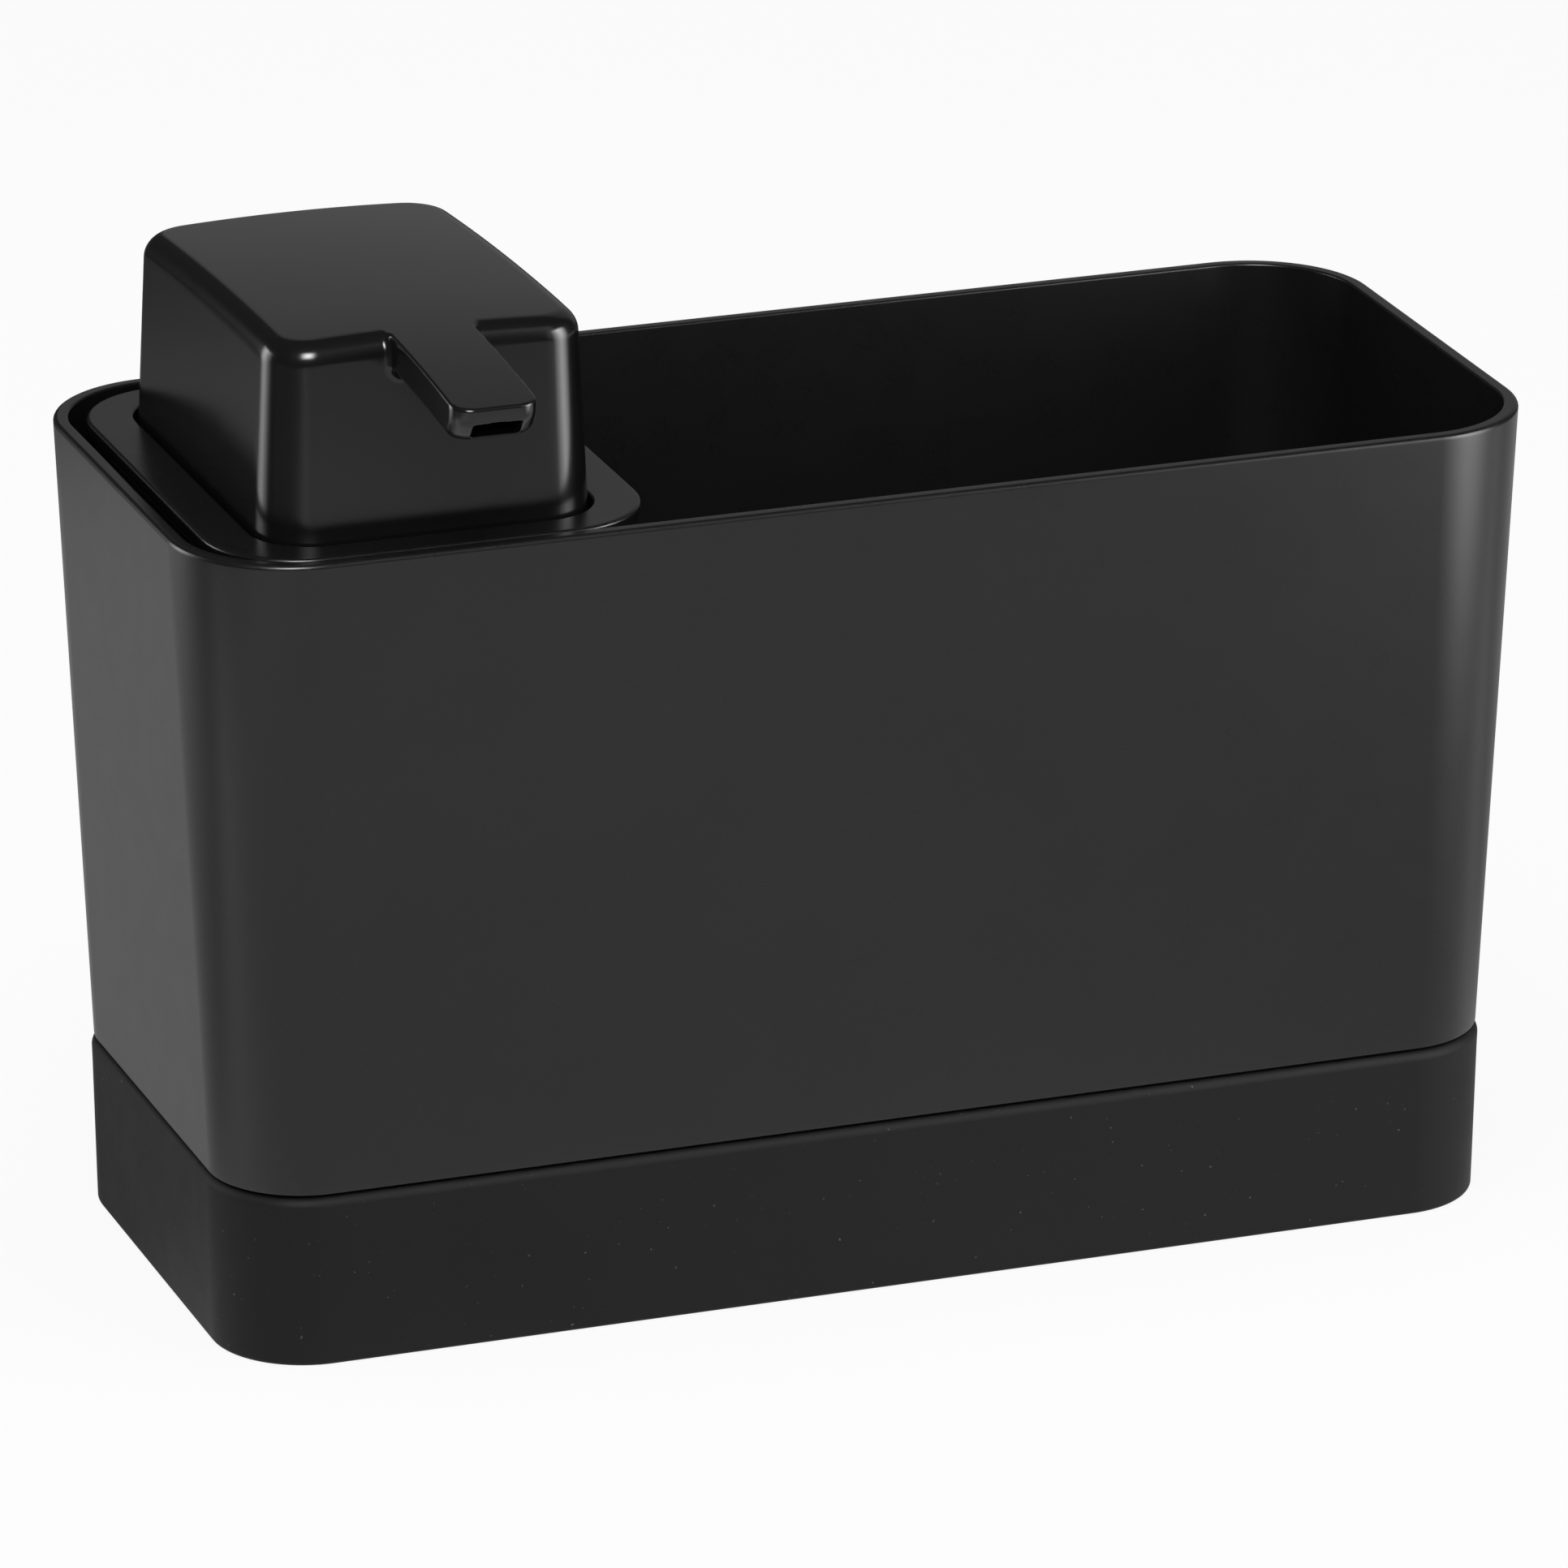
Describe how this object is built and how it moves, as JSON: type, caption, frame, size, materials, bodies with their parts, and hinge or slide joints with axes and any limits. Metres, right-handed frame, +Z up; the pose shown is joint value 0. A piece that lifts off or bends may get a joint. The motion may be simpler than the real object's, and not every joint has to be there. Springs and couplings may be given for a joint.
{
  "type": "sink organizer",
  "caption": "Tapered sink caddy with a soap dispenser: an oblong open container in a silicone tray, with a lift-out bottle, collar plate and press-down pump head.",
  "frame": {"origin": "middle of the silicone tray's underside, on the surface it stands on", "axes": "+Z up, +X along the caddy away from the dispenser, -Y towards the spout's tip"},
  "size_m": [0.22, 0.1151, 0.1628],
  "materials": {
    "silicone_tray": "matt moulded silicone",
    "caddy_plastic": "satin black moulded plastic",
    "head_plastic": "satin black moulded plastic, lightly brushed",
    "plate_plastic": "satin black moulded plastic",
    "bottle_plastic": "matt black moulded plastic",
    "inner_plastic": "black moulded plastic",
    "pump_plastic": "natural white polypropylene",
    "seal": "soft grey sealing ring",
    "piston_plastic": "soft polyethylene",
    "tube_plastic": "translucent polyethylene tube",
    "spring_steel": "drawn stainless wire",
    "ball_steel": "polished stainless balls"
  },
  "bodies": {
    "tray": {"silicone_base": "silicone_tray"},
    "caddy": {"caddy": "caddy_plastic"},
    "bottle": {"bottle": "bottle_plastic"},
    "pump": {"collar_plate": "plate_plastic", "plate_seal": "seal", "neck_gasket": "seal", "pump_housing": "pump_plastic", "pump_closure": "inner_plastic", "stem_guide": "pump_plastic", "return_spring": "spring_steel", "ball_cage": "pump_plastic", "dip_tube": "tube_plastic"},
    "head": {"pump_head": "head_plastic", "head_insert": "inner_plastic", "spout_duct": "inner_plastic", "stem": "pump_plastic", "piston": "piston_plastic", "stem_foot": "pump_plastic"},
    "inlet_ball": {"inlet_ball": "ball_steel"},
    "outlet_ball": {"outlet_ball": "ball_steel"}
  },
  "joints": [
    {"name": "caddy_lift", "type": "slide", "parent": "tray", "child": "caddy", "axis": [0, 0, 1], "range_m": [0, 0.03]},
    {"name": "bottle_lift", "type": "slide", "parent": "caddy", "child": "bottle", "axis": [0, 0, 1], "range_m": [0, 0.13]},
    {"name": "pump_lift", "type": "slide", "parent": "bottle", "child": "pump", "axis": [0, 0, 1], "range_m": [0, 0.125]},
    {"name": "head_press", "type": "slide", "parent": "pump", "child": "head", "axis": [0, 0, -1], "range_m": [0, 0.012], "stiffness_N_per_m": 500, "springref_m": -0.008, "deforming": ["return_spring"]},
    {"name": "inlet_ball_lift", "type": "slide", "parent": "pump", "child": "inlet_ball", "axis": [0, 0, 1], "range_m": [0, 0.0015]},
    {"name": "outlet_ball_lift", "type": "slide", "parent": "head", "child": "outlet_ball", "axis": [0, 0, 1], "range_m": [0, 0.0015]}
  ]
}
